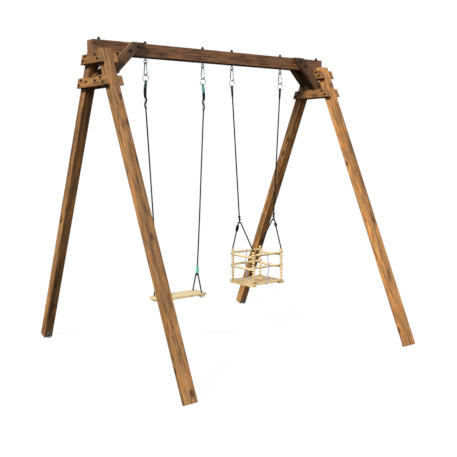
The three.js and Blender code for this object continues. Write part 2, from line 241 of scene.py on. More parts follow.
# Materials.
class Shader:
    """The nodes of a material or of the world, being put together."""

    def __init__(self, name, store=bpy.data.materials, surface="Principled BSDF"):
        self.material = store.new(name)
        self.material.use_nodes = True
        self.tree = self.material.node_tree
        self.surface = self.tree.nodes[surface]

    def node(self, kind, values=None, **settings):
        made = self.tree.nodes.new(kind)
        for key, value in settings.items():
            setattr(made, key, value)
        for key, value in (values or {}).items():
            self.put(made.inputs[key], value)
        return made

    def put(self, socket, value):
        if isinstance(value, bpy.types.NodeSocket):
            self.tree.links.new(value, socket)
        else:
            socket.default_value = value

    def set(self, **values):
        for key, value in values.items():
            self.put(self.surface.inputs[key.replace("_", " ")], value)

    def math(self, operation, a, b=0.0, c=0.0, clamp=False):
        made = self.node("ShaderNodeMath", {0: a, 1: b, 2: c}, operation=operation)
        made.use_clamp = clamp
        return made.outputs[0]

    def vector(self, operation, a, b=(0, 0, 0)):
        return self.node("ShaderNodeVectorMath", {0: a, 1: b}, operation=operation).outputs

    def place(self):
        return self.node("ShaderNodeTexCoord").outputs["Object"]

    def stretched(self, place, scale):
        return self.vector("MULTIPLY", place, scale)[0]

    def noise(self, place, scale=1.0, detail=3.0, roughness=0.5):
        values = {"Vector": place, "Scale": scale, "Detail": detail, "Roughness": roughness}
        return self.node("ShaderNodeTexNoise", values).outputs["Fac"]

    def ramp(self, value, stops):
        made = self.node("ShaderNodeValToRGB", {"Fac": value})
        band = made.color_ramp
        while len(band.elements) < len(stops):
            band.elements.new(0.5)
        for element, (place, colour) in zip(band.elements, stops, strict=True):
            element.position = place
            element.color = (*colour, 1) if len(colour) == 3 else colour
        return made.outputs["Color"]

    def mix(self, share, a, b, blend="MIX"):
        made = self.node("ShaderNodeMix", data_type="RGBA", blend_type=blend)
        self.put(made.inputs["Factor"], share)
        self.put(made.inputs["A"], a if isinstance(a, bpy.types.NodeSocket) else (*a, 1))
        self.put(made.inputs["B"], b if isinstance(b, bpy.types.NodeSocket) else (*b, 1))
        return made.outputs["Result"]

    def bump(self, height, distance, strength=1.0):
        values = {"Height": height, "Distance": distance, "Strength": strength}
        self.set(Normal=self.node("ShaderNodeBump", values).outputs["Normal"])


def grey(value):
    return (value, value, value)


def wood_place(shader, centre, grain, pith):
    """Coordinates whose Z runs along the grain, with the heart of the tree at the origin."""
    turn = Vector(grain).rotation_difference(Z_AXIS)
    shift = Vector(pith) - turn @ Vector(centre)
    values = {"Vector": shader.place(), "Rotation": turn.to_euler(), "Location": shift}
    return shader.node("ShaderNodeMapping", values).outputs["Vector"]


def pine(name, centre, grain, pith, tones, ring_gap, knots, roughness, stripes=0.0):
    """Planed pine: growth rings, fibres, slow colour drift and knots. tones run dark to light.

    stripes is the share of stain that has soaked in unevenly.
    """
    dark, middle, light, knot_tone = tones
    shader = Shader(name)
    place = wood_place(shader, centre, grain, pith)

    def figure(scale, detail=2, roughness=0.5):
        return shader.noise(shader.stretched(place, scale), detail=detail, roughness=roughness)

    slow, wobble, fibre = figure((9, 9, 0.9)), figure((26, 26, 2.2)), figure((420, 420, 9))
    streak = figure((75, 75, 1.7), 4, 0.6)

    cells = {"Vector": shader.stretched(place, (8.5, 8.5, 5.0)), "Scale": 1.0}
    near = shader.node("ShaderNodeTexVoronoi", cells).outputs["Distance"]
    swirl = shader.math("SMOOTH_MIN", near, 0.42, 0.25)
    reach = shader.vector("LENGTH", shader.stretched(place, (1, 1, 0)))["Value"]
    rings = shader.math("MULTIPLY", reach, 1 / ring_gap)
    rings = shader.math("ADD", rings, shader.math("MULTIPLY", wobble, 5.0))
    rings = shader.math("ADD", rings, shader.math("MULTIPLY", swirl, -9.0 * knots))
    late = shader.ramp(shader.math("FRACT", rings), [
        (0.0, grey(0.05)), (0.55, grey(0.25)), (0.86, grey(1)), (1.0, grey(0.05)),
    ])

    drift = shader.math("MULTIPLY_ADD", slow, 1.5, -0.25, clamp=True)
    drift = shader.math("MULTIPLY_ADD", drift, 0.6, -0.12)
    body = shader.ramp(shader.math("MULTIPLY_ADD", streak, 0.62, drift), [
        (0.2, dark), (0.5, middle), (0.78, light),
    ])
    tinted = shader.mix(shader.math("MULTIPLY", late, 0.5), body, dark)
    shade = shader.ramp(figure((88, 88, 6.0), 4, 0.62), [
        (0.36, grey(0.26)), (0.46, grey(0.92)), (0.64, grey(1.42)),
    ])
    glow = shader.ramp(figure((26, 26, 7.5)), [(0.36, (0.82, 0.88, 0.95)), (0.64, (1.24, 1.09, 0.82))])
    bands = shader.mix(1.0, shade, glow, blend="MULTIPLY")
    tinted = shader.mix(stripes, tinted, shader.mix(1.0, tinted, bands, blend="MULTIPLY"))
    fine = shader.ramp(fibre, [(0.34, grey(0.74)), (0.62, grey(1.12))])
    tinted = shader.mix(1.0, tinted, fine, blend="MULTIPLY")
    spot = shader.ramp(near, [(0.085, grey(1)), (0.13, grey(0.55)), (0.19, grey(0))])
    tinted = shader.mix(shader.math("MULTIPLY", spot, 0.85 * knots), tinted, knot_tone)
    relief = shader.math("MULTIPLY_ADD", late, -0.5, shader.math("MULTIPLY", fibre, 0.8))
    shader.set(Base_Color=tinted, Roughness=roughness)
    shader.bump(relief, 0.0004, 0.6)
    return shader.material


# Wood tones: dark, middle, light, knot.
STAIN = {
    "leg": ((0.128, 0.064, 0.025), (0.335, 0.166, 0.06), (0.52, 0.28, 0.108), (0.058, 0.028, 0.013)),
    "bright_leg": ((0.175, 0.082, 0.028), (0.47, 0.222, 0.076), (0.7, 0.37, 0.138), (0.07, 0.03, 0.013)),
    "tie": ((0.138, 0.06, 0.019), (0.32, 0.152, 0.049), (0.48, 0.252, 0.087), (0.05, 0.021, 0.009)),
    "brace": ((0.085, 0.042, 0.02), (0.17, 0.088, 0.04), (0.3, 0.165, 0.075), (0.035, 0.017, 0.009)),
    "beam": ((0.1, 0.045, 0.02), (0.2, 0.092, 0.04), (0.31, 0.155, 0.068), (0.045, 0.02, 0.01)),
}
# The pale pine below made lighter, for the plank and rails: painted light.
PALE_WITH_PAINTED_LIGHT = ((0.63, 0.44, 0.19), (0.83, 0.66, 0.355), (0.9, 0.775, 0.485), (0.4, 0.22, 0.08))
PALE = ((0.56, 0.36, 0.14), (0.78, 0.575, 0.28), (0.88, 0.71, 0.4), (0.33, 0.17, 0.06))


def node_middle(name):
    low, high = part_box(name)
    return (low + high) / 2


def spread_seed(index):
    """A different, fixed place in the trunk for each piece."""
    return (0.055 + 0.013 * (index * 7 % 5), 0.035 + 0.011 * (index * 3 % 7), 0.37 * index)


def zinc():
    shader = Shader("zinc_plate")
    place = shader.place()
    cloud = shader.noise(place, 110, 4, 0.6)
    # mottle of the zinc plate's uneven tone, with painted highlights in its light patches
    tone = shader.ramp(cloud, [(0.34, (0.26, 0.31, 0.39)), (0.62, (0.78, 0.84, 0.92))])
    polish = shader.ramp(cloud, [(0.3, grey(0.34)), (0.7, grey(0.20))])
    shader.set(Base_Color=tone, Roughness=polish, Metallic=1.0)
    shader.bump(shader.noise(place, 900, 2), 0.00008, 0.5)
    return shader.material


def black_coat(name, tone, rough, metallic=0.0):
    shader = Shader(name)
    place = shader.place()
    cloud = shader.noise(place, 240, 3)
    colour = shader.ramp(cloud, [(0.3, grey(tone)), (0.75, grey(tone * 2.2))])
    polish = shader.ramp(cloud, [(0.3, grey(rough)), (0.7, grey(rough + 0.18))])
    shader.set(Base_Color=colour, Roughness=polish, Metallic=metallic, Specular_IOR_Level=0.22)
    shader.bump(shader.noise(place, 1300, 2), 0.0001, 0.4)
    return shader.material


def braid(name, dark, light):
    """Braided cord: the colour is darker in the grooves between the strands, painted shade."""
    shader = Shader(name)
    place = shader.place()
    speckle = shader.noise(place, 1400, 2)
    patch = shader.noise(place, 60, 2)
    groove_painted_shade = shader.node("ShaderNodeAttribute", attribute_name="strand_height").outputs["Fac"]
    # the colour follows the strand height, so the grooves between the strands are darker: painted shade
    value = shader.math("MULTIPLY_ADD", groove_painted_shade, 0.55, shader.math("MULTIPLY", speckle, 0.3))
    value = shader.math("MULTIPLY_ADD", patch, 0.25, value)
    tone = shader.ramp(value, [(0.2, dark), (0.85, light)])
    shader.set(Base_Color=tone, Roughness=0.85, Specular_IOR_Level=0.2)
    shader.bump(speckle, 0.00025, 0.7)
    return shader.material


def sleeve(name, dark, light):
    """Shrunk plastic tube with faint lengthwise creases, its colour darker in their hollows: painted shade."""
    shader = Shader(name)
    place = shader.place()
    crease = shader.noise(shader.stretched(place, (500, 500, 60)))
    # darker where the crease bump is low: painted shade in the hollows
    tone = shader.ramp(crease, [(0.3, dark), (0.7, light)])
    shader.set(Base_Color=tone, Roughness=0.5, Specular_IOR_Level=0.25)
    shader.bump(crease, 0.0003, 0.6)
    return shader.material


ZINC = zinc()
DULL_STEEL = black_coat("dull_steel", 0.11, 0.45)
BLACK_BOLT = black_coat("black_bolt", 0.006, 0.42)
BLACK_PLASTIC = black_coat("black_plastic", 0.008, 0.42)
GREY_ROPE = braid("grey_green_rope", (0.006, 0.011, 0.011), (0.030, 0.044, 0.043))
DARK_ROPE = braid("dark_green_rope", (0.002, 0.006, 0.006), (0.012, 0.022, 0.021))
BLACK_ROPE = braid("black_rope", (0.002, 0.003, 0.003), (0.012, 0.014, 0.016))
LILAC_CORD = braid("lilac_cord", (0.200, 0.180, 0.480), (0.480, 0.460, 0.800))
# The core cord of the bead columns, darkened so that the gaps between the beads look dark: its own colour with
# painted shade.
BEAD_CORD_WITH_PAINTED_SHADE = braid("bead_cord_with_painted_shade", (0.200, 0.140, 0.080), (0.420, 0.320, 0.200))
GREEN_SLEEVE = sleeve("green_sleeve", (0.010, 0.045, 0.036), (0.030, 0.105, 0.082))
TEAL_SLEEVE = sleeve("teal_sleeve", (0.050, 0.240, 0.190), (0.120, 0.420, 0.340))
AQUA_SLEEVE = sleeve("aqua_sleeve", (0.130, 0.480, 0.370), (0.270, 0.700, 0.560))
BLACK_SLEEVE = sleeve("black_sleeve", (0.002, 0.003, 0.003), (0.009, 0.010, 0.011))

# Ropes. Routes run as (x, y, z), x outward from the middle of the swing. The left rope mirrors the right.
def there_and_back(points):
    """A route to its middle point and back down the other side, y mirrored."""
    return points + [(x, -y, z) for x, y, z in points[-2::-1]]


ROUTES = {
    "rope_plain": [
        (0.265, 0, 2.124), (0.269, 0, 2.05), (0.2695, 0, 1.945), (0.261, 0, 1.8),
        (0.24, 0, 1.44), (0.2195, 0, 1.08), (0.204, 0, 0.84), (0.1875, 0, 0.6116),
    ],
    "rope_baby": [
        (0.265, 0, 2.124), (0.2465, 0, 1.848), (0.228, 0, 1.567), (0.2095, 0, 1.286),
        (0.191, 0, 1.0057),
    ],
    "seat_rope_plain": there_and_back([
        (0.1875, -0.06, 0.465), (0.1875, -0.051, 0.493), (0.1875, -0.042, 0.521),
        (0.1875, -0.033, 0.549), (0.1875, -0.0245, 0.575), (0.1875, -0.019, 0.592),
        (0.1875, -0.012, 0.602), (0.1875, 0, 0.606),
    ]),
    "seat_rope_baby": there_and_back([
        (0.155, -0.14, 0.762), (0.1618, -0.116, 0.807), (0.1686, -0.092, 0.852),
        (0.1754, -0.068, 0.897), (0.1822, -0.044, 0.942), (0.1865, -0.029, 0.97),
        (0.1892, -0.0195, 0.988), (0.1905, -0.011, 0.997), (0.191, 0, 1.000),
    ]),
    "crotch_cord": there_and_back([
        (0, -0.14, 0.739), (0, -0.14, 0.722), (0, -0.1415, 0.7), (0, -0.148, 0.672),
        (0, -0.1535, 0.645), (0, -0.155, 0.62), (0, -0.1535, 0.595), (0, -0.148, 0.568),
        (0, -0.142, 0.541), (0, -0.14, 0.512), (0, -0.14, 0.476), (0, -0.1394, 0.47),
        (0, -0.136, 0.4666), (0, -0.13, 0.466), (0, -0.118, 0.4666), (0, -0.08, 0.467),
        (0, 0, 0.467),
    ]),
}
ADJUSTER_TOP, ADJUSTER_BOTTOM, ADJUSTER_SWAY = 2.012, 1.932, 0.005


def braided_tube(line, radius, strands=5, depth=0.07):
    """A tube with the bumps of a flat braid, and each point's height on its strand."""
    sides = strands * 4
    step = np.linalg.norm(np.diff(line, axis=0), axis=1).mean()
    around = np.arange(sides) / sides * strands
    along = np.arange(len(line)) * step / (TURN * radius) * strands
    first = (around[None] + along[:, None]) % 1
    second = (around[None] - along[:, None]) % 1
    over = (np.floor(around[None] + along[:, None]) + np.floor(around[None] - along[:, None])) % 2 < 1
    height = np.sin(math.pi * np.where(over, first, second))
    radii = radius * (1 - depth + depth * height)
    return swept(line, radii[:, :, None] * circle(sides)[None]), height.ravel()


def sway(line, side):
    """The plain swing's rope weaves once through its length adjuster."""
    span = ADJUSTER_TOP - ADJUSTER_BOTTOM
    share = (ADJUSTER_TOP - line[:, 2]) / span
    inside = (share > 0) & (share < 1)
    line = line.copy()
    line[inside, 0] -= side * ADJUSTER_SWAY * np.sin(TURN * share[inside])
    return line


def braided_piece(name, line, radius, body, material, instead_of=None):
    """A braided rope along line, with its strand heights kept for the material, whose colour paints shade in
    the grooves.
    """
    part, height = braided_tube(line, radius)
    made = piece(name, [part], body, material, 80, instead_of)
    strands = made.data.attributes.new("strand_height", "FLOAT", "POINT")
    strands.data.foreach_set("value", height.astype(np.float32))
    return made


def run_on(line, distance):
    """The line with both its ends carried straight on."""
    start, end = line[0] - line[4], line[-1] - line[-5]
    return np.vstack([
        line[0] + start / np.linalg.norm(start) * distance, line,
        line[-1] + end / np.linalg.norm(end) * distance,
    ])


def add_cord(node, kind, side, radius, swell, length, body, material, slot, stretch=0.0):
    """A rope that replaces its CAD solid. stretch runs both its ends on into what holds them."""
    middle = SWINGS[body.split("_")[0]]
    route = [(middle + side * x, y, z) for x, y, z in ROUTES[kind]]
    line = smooth_line(route, 0.0016)
    if stretch:
        line = run_on(line, stretch)
    if kind == "rope_plain":
        line = sway(line, side)
    made = braided_piece(node + "_braid", line, radius * swell, body, material, node)


# Kind, length, body, material, slot and how far the ends run on.
ROPES = (
    ("rope_plain", 1.515, "plain_hang", GREY_ROPE, "grey_rope"),
    ("rope_baby", 1.121, "baby_hang", BLACK_ROPE, "black_rope"),
    ("seat_rope_plain", 0.318, "plain_seat", DARK_ROPE, "grey_rope", 0.008),
    ("seat_rope_baby", 0.565, "baby_seat", BLACK_ROPE, "black_rope", 0.010),
)
for side_name, side in SIDES:
    for kind, *looks in ROPES:
        add_cord(f"{kind}_{side_name}", kind, side, ROPE_RADIUS, BRAID_SWELL, *looks)
add_cord("crotch_cord", "crotch_cord", 1, CROTCH_RADIUS, 1, 0.825, "baby_seat", LILAC_CORD, "lilac_cord")


# Timber frame.
def dress_board(name, material, edge, segments=2):
    """A CAD node that keeps its shape, with its planed edges rounded."""
    node = frame["nodes"][name]
    node.data.materials.clear()
    node.data.materials.append(material)
    weld = node.modifiers.new("weld", "WELD")
    weld.merge_threshold = 0.00002
    bevel = node.modifiers.new("rounded_edges", "BEVEL")
    bevel.width = edge
    bevel.segments = segments
    bevel.limit_method = "ANGLE"
    bevel.angle_limit = math.radians(25)
    bevel.use_clamp_overlap = False
    bevel.harden_normals = False


def grain_of(name):
    """Which way the grain runs in a frame timber, and its stain."""
    side = -1 if name.endswith("left") else 1
    if name == "top_beam":
        return X_AXIS, "beam"
    if name.startswith("leg"):
        end = -1 if "front" in name else 1
        stain = "leg" if side < 0 else "bright_leg"
        return Vector((0, -end * math.sin(LEG_LEAN), math.cos(LEG_LEAN))), stain
    if name.startswith("tie"):
        return Y_AXIS, "tie"
    return Vector((side, 0, -1)).normalized(), "brace"


def dress_timber():
    timbers = [n for n in frame["record"]["behaviour"]["bodies"]["frame"] if "eye_bolt" not in n]
    for index, name in enumerate(timbers):
        grain, stain = grain_of(name)
        wood = pine("stained_" + name, node_middle(name), grain, spread_seed(index), STAIN[stain],
                    ring_gap=0.0052, knots=1.0, roughness=0.62, stripes=0.9)
        dress_board(name, wood, 0.002 if stain in ("tie", "brace") else 0.003)


dress_timber()


# Fasteners.
BOLT_WASHER, CENTRE = 0.0016, 0.0001
ON_WASHER = Matrix.Translation((0, 0, BOLT_WASHER))


def hex_rings(across_flats, profile, sides=36):
    """Rings of a hexagon whose corners are cut by a turned profile of (radius, z)."""
    angles = TURN * np.arange(sides) / sides
    flat = (angles + math.pi / 6) % (math.pi / 3) - math.pi / 6
    hexagon = across_flats / 2 / np.cos(flat)
    return capped([
        np.column_stack([circle(sides) * np.minimum(hexagon, r)[:, None], np.full(sides, z)])
        for r, z in profile
    ])


def corner_radius(across_flats):
    return across_flats / 2 / math.cos(math.pi / 6)


def washer(outer=0.010, thickness=BOLT_WASHER, base=0.0):
    edge = thickness * 0.3
    return turned([
        (0, base), (outer - edge, base), (outer, base + edge), (outer, base + thickness - edge),
        (outer - edge, base + thickness), (0, base + thickness),
    ], 28)


def hex_head(across=0.013, height=0.0058, washer_radius=0.010):
    """A hexagon bolt head on its washer, standing on the XY plane."""
    corner = corner_radius(across)
    head = hex_rings(across, [
        (CENTRE, 0), (corner, 0), (corner, height * 0.72), (corner * 0.86, height), (CENTRE, height),
    ])
    return [washer(washer_radius), moved(head, ON_WASHER)]


def nut_and_thread(across=0.013, reach=0.010):
    """A nut on its washer with the bolt's end standing out of it."""
    corner = corner_radius(across)
    nut = hex_rings(across, [
        (CENTRE, 0), (corner * 0.9, 0), (corner, 0.001), (corner, 0.0055),
        (corner * 0.9, 0.0065), (CENTRE, 0.0065),
    ])
    return [washer(), moved(nut, ON_WASHER), threaded(0.004, BOLT_WASHER + 0.006, reach)]


def threaded(radius, low, high, pitch=0.00125):
    """A stud with its thread as stacked ridges."""
    turns = max(2, round((high - low) / pitch))
    profile = [(0, low)]
    for i in range(turns):
        z = low + (high - low) * i / turns
        profile += [(radius * 0.86, z), (radius, z + pitch * 0.5)]
    profile += [(radius * 0.8, high), (0, high)]
    return turned(profile, 20)


def cap_nut(base, across=0.021, top=0.0265):
    """A domed nut on a wide washer, standing at base."""
    corner = corner_radius(across)
    start = base + 0.0022
    skirt = hex_rings(across, [
        (CENTRE, start), (corner, start), (corner, start + 0.0102), (across * 0.47, start + 0.0115),
        (CENTRE, start + 0.0115),
    ])
    dome_base, dome_top = start + 0.0112, base + top
    radius = across * 0.46
    dome = [(radius * math.cos(a), dome_base + (dome_top - dome_base) * math.sin(a))
            for a in np.linspace(0, math.pi / 2, 8)]
    return [washer(0.0140, 0.0024, base), skirt, turned([(0, dome_base - 0.001), *dome], 28)]


def place_parts(parts, direction, place):
    matrix = facing(direction, place)
    return [moved(part, matrix) for part in parts]


# Bolts by place: (y, z) through the ties, (x, z) through the braces and into the beam.
TIE_BOLTS = ((0.0775, 2.288), (0.111, 2.258), (0.1495, 2.124), (0.1845, 2.0915))
BRACE_BOLT = (0.066, 2.108)
BRACE_FACE_BOLTS = ((0.812, 2.370), (0.880, 2.333))
BEAM_FACE_BOLT = (0.968, 2.3125)
UNDER_BOLT_X, UNDER_BOLT_INSET = 0.970, 0.021


def add_frame_fasteners():
    outer_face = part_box("tie_upper_outer_right")[1].x
    inner_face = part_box("tie_upper_inner_right")[0].x
    brace_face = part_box("brace_back_right")[1].y
    beam_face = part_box("top_beam")[1].y
    for label, side, end in CORNERS:
        heads, nuts = [], []
        for y, z in (*TIE_BOLTS, BRACE_BOLT):
            heads += place_parts(hex_head(), (side, 0, 0), (side * outer_face, end * y, z))
        for y, z in TIE_BOLTS:
            nuts += place_parts(nut_and_thread(), (-side, 0, 0), (side * inner_face, end * y, z))
        for x, z in BRACE_FACE_BOLTS:
            spot = (side * x, end * brace_face, z)
            heads += place_parts(hex_head(0.015, 0.0055, 0.011), (0, end, 0), spot)
        x, z = BEAM_FACE_BOLT
        heads += place_parts(hex_head(0.013, 0.0055, 0.009), (0, end, 0), (side * x, end * beam_face, z))
        spot = (side * UNDER_BOLT_X, end * (brace_face - UNDER_BOLT_INSET), BRACE_SUM - UNDER_BOLT_X)
        heads += place_parts(hex_head(0.016, 0.0085, 0.012), (-side, 0, -1), spot)
        piece("bolt_heads_" + label, heads, "frame", BLACK_BOLT, sharp=25)
        piece("bolt_nuts_" + label, nuts, "frame", BLACK_BOLT, sharp=25)


def add_end_bolts():
    """The bolt down through each end of the beam, and the block it clamps between the ties."""
    beam_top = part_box("top_beam")[1].z
    tie_low, tie_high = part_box("tie_upper_outer_right")
    leg_low, leg_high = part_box("leg_back_right")
    half_x = (leg_high.x - leg_low.x) / 2 - 0.0003
    block_low, top_half, bottom_half = tie_low.z - 0.006, 0.040, 0.070
    for side_name, side in SIDES:
        x = side * (leg_low.x + leg_high.x) / 2
        left, right = x - half_x, x + half_x
        rings = [[(left, -half, z), (right, -half, z), (right, half, z), (left, half, z)]
                 for z, half in ((block_low, bottom_half), (tie_high.z, top_half))]
        wood = pine(f"stained_block_{side_name}", (x, 0, tie_low.z), Y_AXIS, (0.06, 0.05, 3 + side),
                    STAIN["brace"], 0.005, 0.4, 0.65)
        block = piece(f"spacer_block_{side_name}", [capped(rings)], "frame", wood)
        block.modifiers.new("rounded_edges", "BEVEL").width = 0.002
        parts = [moved(part, Matrix.Translation((x, 0, 0))) for part in cap_nut(beam_top)]
        piece(f"end_bolt_{side_name}", parts, "frame", BLACK_BOLT, sharp=25)
        nut = place_parts(nut_and_thread(0.018, 0.018), (0, 0, -1), (x, 0, block_low))
        piece(f"end_nut_{side_name}", nut, "frame", ZINC, sharp=25)


def add_ground_brackets():
    """A bent steel strip on the inner face of each leg, screwed on and lying on the ground."""
    thickness, width, rise, foot, gap = 0.003, 0.036, 0.050, 0.030, 0.0005
    screw = hex_head(0.008, 0.004, 0.0065)
    # A black disc in the bracket's hole stands for the shade inside it: painted shade.
    painted_hole_shade = turned([(0, 0), (0.0072, 0), (0.0072, 0.0009), (0, 0.0009)], 28)
    for label, _, end in CORNERS:
        up = Vector((0, -end * math.sin(LEG_LEAN), math.cos(LEG_LEAN)))
        out = Vector((0, -end * math.cos(LEG_LEAN), -math.sin(LEG_LEAN)))
        corner = Vector((node_middle("leg_" + label).x, end * LEG_HEEL, 0)) + out * 0.0003
        inner = [corner + up * rise, corner + up * 0.012, corner + Vector((0, -end * 0.006, gap)),
                 corner + Vector((0, -end * foot, gap))]
        skin = [p + (out if i < 2 else Vector((0, -end * 0.3, 1)).normalized()) * thickness
                for i, p in enumerate(inner)]
        rings = [[(p.x + dx, p.y, p.z) for p in inner + skin[::-1]] for dx in (-width / 2, width / 2)]
        parts = [capped(rings)]
        parts += place_parts(screw, out, corner + up * rise * 0.84 + out * thickness)
        # the black disc of painted shade sits in the hole
        hole = place_parts([painted_hole_shade], out, corner + up * rise * 0.46 + out * (thickness - 0.0006))
        piece("bracket_hole_shade_" + label, hole, "frame", BLACK_PLASTIC)
        parts += place_parts(screw, Z_AXIS, corner + Vector((0, -end * foot * 0.62, gap + thickness)))
        strip = piece("ground_bracket_" + label, parts, "frame", DULL_STEEL, sharp=25)
        strip.modifiers.new("rounded_edges", "BEVEL").width = 0.0004


add_frame_fasteners()
add_end_bolts()
add_ground_brackets()


# Hanging hardware.
HOOK_WIRE, HOOK_TOP_RADIUS, HOOK_BOTTOM_RADIUS = 0.004, 0.012, 0.021
GATE_TOP, GATE_BOTTOM, GATE_CLEARANCE, GATE_RADIUS = 0.16, 0.86, 0.0005, 0.0035
CHEEK_OFFSET, CHEEK_RADIUS, PIN_DOWN, RIDGE = 0.0034, 0.0022, 0.0045, 0.0004
EYE_WIRE, EYE_RADIUS, EYE_Z = 0.0037, 0.013, 2.275


class HookShape:
    """The wire line of a pear-shaped hook, read from its CAD node."""

    def __init__(self, node):
        low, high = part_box(node)
        self.x = (low.x + high.x) / 2
        self.top = high.z - HOOK_WIRE - HOOK_TOP_RADIUS
        self.bottom = low.z + HOOK_WIRE + HOOK_BOTTOM_RADIUS
        spread = HOOK_BOTTOM_RADIUS - HOOK_TOP_RADIUS
        self.taper = math.asin(spread / (self.top - self.bottom))

    def side(self, way, share):
        """A point of the straight front (-1) or back (1) side, share of the way down."""
        radius = HOOK_TOP_RADIUS + (HOOK_BOTTOM_RADIUS - HOOK_TOP_RADIUS) * share
        z = self.top + (self.bottom - self.top) * share + radius * math.sin(self.taper)
        return Vector((self.x, way * radius * math.cos(self.taper), z))

    def arc(self, centre, radius, start, end, count):
        return [(self.x, radius * math.cos(a), centre + radius * math.sin(a))
                for a in np.linspace(start, end, count)]

    def line(self):
        points = [tuple(self.side(-1, GATE_TOP))]
        points += self.arc(self.top, HOOK_TOP_RADIUS, math.pi - self.taper, self.taper, 15)
        points += [tuple(self.side(1, share)) for share in (0.33, 0.67)]
        points += self.arc(self.bottom, HOOK_BOTTOM_RADIUS, self.taper, -math.pi - self.taper, 25)
        points.append(tuple(self.side(-1, GATE_BOTTOM)))
        return smooth_line(points, 0.0018)

    def gate(self):
        """The gate's hinge, direction and length."""
        hinge, nose = self.side(-1, GATE_TOP), self.side(-1, GATE_BOTTOM)
        return hinge, (nose - hinge).normalized(), (nose - hinge).length


def rounded_ends(count, radius, reach):
    """One radius for each point of a tube, drawn in at both ends."""
    radii = np.full(count, radius)
    for i in range(reach):
        share = math.sqrt(1 - ((reach - i) / reach) ** 2) if i else 0.25
        radii[i] = radii[-1 - i] = radius * max(share, 0.25)
    return radii


def add_hook(label, body):
    """The bent wire, the two cheeks of its hinge and the pin through them."""
    shape = HookShape("snap_hook_" + label)
    line = shape.line()
    parts = [tube(line, rounded_ends(len(line), HOOK_WIRE, 2), 16)]
    hinge, along, _ = shape.gate()
    for way in (-1, 1):
        start = hinge + X_AXIS * way * CHEEK_OFFSET
        cheek = [tuple(start + along * t) for t in np.linspace(-0.010, 0.0072, 10)]
        parts.append(tube(cheek, rounded_ends(10, CHEEK_RADIUS, 3), 10))
    profile = [(0, 0.0056), (0.0016, 0.0056), (0.0020, 0.0050)]
    pin = turned([(r, -z) for r, z in profile] + profile[::-1], 16)
    parts += place_parts([pin], X_AXIS, hinge + along * PIN_DOWN)
    piece("hook_" + label, parts, body, ZINC, 50, "snap_hook_" + label)


def add_gate(label):
    """The sprung gate, with a waist at its hinge, a thinner nose and ridges for the thumb."""
    hinge, along, length = HookShape("snap_hook_" + label).gate()
    reach = length - GATE_CLEARANCE
    marks = np.linspace(GATE_CLEARANCE + 0.0004, reach - 0.0004, 40)
    share = marks / reach
    radii = rounded_ends(40, GATE_RADIUS, 5)
    radii[share > 0.86] *= 0.86
    radii[(share > 0.14) & (share < 0.20)] *= 0.9
    parts = [tube([tuple(hinge + along * t) for t in marks], radii, 16)]
    for place in (0.42, 0.46, 0.50, 0.54, 0.58):
        spot = hinge + along * (reach * place)
        parts.append(ring_part(spot, GATE_RADIUS, RIDGE, X_AXIS, Z_AXIS, 20, 6))
    piece("gate_" + label, parts, "gate_" + label, ZINC, 50, "hook_gate_" + label)


def add_ring(label, body):
    """A welded ring, a little thicker at the weld."""
    low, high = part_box("hook_ring_" + label)
    wire = (high.y - low.y) / 2
    line = ring_line((low + high) / 2, (high.x - low.x) / 2 - wire, X_AXIS, Z_AXIS, 56)
    swell = 1 + 0.09 * np.exp(-(((np.arange(56) - 7) / 1.4) ** 2))
    parts = [tube(line, wire * swell, 14, closed=True)]
    piece("ring_" + label, parts, body, ZINC, instead_of="hook_ring_" + label)


def add_eye(label):
    """The eye, its neck and flange under the beam, and the domed nut on top."""
    x = node_middle("eye_bolt_" + label).x
    under, over = (corner.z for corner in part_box("top_beam"))
    crown = EYE_Z + EYE_RADIUS
    here = Matrix.Translation((x, 0, 0))
    eye = ring_part((x, 0, EYE_Z), EYE_RADIUS, EYE_WIRE, X_AXIS, Z_AXIS, 44, 24)
    neck = turned([
        (0, crown - 0.001), (0.0042, crown - 0.001), (0.0062, crown + 0.003), (0.0062, under - 0.0042),
        (0.0115, under - 0.0036), (0.0122, under - 0.0026), (0.0122, under - 0.0008),
        (0.0115, under - 0.0002), (0.0048, under), (0.0048, under + 0.02), (0, under + 0.02),
    ], 28)
    parts = [eye, moved(neck, here)]
    piece("eye_" + label, parts, "frame", ZINC, instead_of="eye_bolt_" + label)
    nut = [moved(part, here) for part in cap_nut(over)]
    piece("cap_nut_" + label, nut, "frame", BLACK_BOLT, sharp=25)


for swing in SWINGS:
    for side_name, side in SIDES:
        hanger = f"{swing}_{side_name}"
        add_eye(hanger)
        add_hook(hanger, swing + "_hang")
        add_gate(hanger)
        add_ring(hanger, swing + "_hang")


# Rope ends, sleeves and knots.
SLEEVE_TOP = 2.118


def lofted(line, widths, depths, sides=20):
    """A rounded, flattened tube along a vertical line: widths along Y, depths along X."""
    spokes = circle(sides)
    outline = np.sign(spokes) * np.abs(spokes) ** (2 / 2.4) / 2
    return capped([
        np.column_stack([outline * (depth, width) + (x, y), np.full(sides, z)])
        for (x, y, z), width, depth in zip(np.asarray(line), widths, depths, strict=True)
    ])


def on_route(swing, side, z):
    """The point of a main rope at height z."""
    x, _, height = np.array(ROUTES["rope_" + swing][::-1]).T
    return Vector((SWINGS[swing] + side * np.interp(z, height, x), 0, z))


def add_shroud(name, swing, side, low, high, widths, depths, material, wrinkle=0.03, outward=0.0):
    """A shrunk sleeve along a main rope from high down to low, which may bulge outward."""
    count = 16
    marks = np.linspace(high, low, count)
    shift = outward * side * np.interp(marks, (2.080, SLEEVE_TOP), (1, 0))
    line = [on_route(swing, side, z) + X_AXIS * dx for z, dx in zip(marks, shift, strict=True)]
    share = np.linspace(0, 1, count)
    crease = 1 + wrinkle * np.sin(share * 23 + side)
    crease[[0, -1]] *= 0.86
    wide, deep = (np.interp(share, np.linspace(0, 1, 3), sizes) * crease for sizes in (widths, depths))
    piece(name, [lofted(line, wide, deep)], swing + "_hang", material, sharp=60)


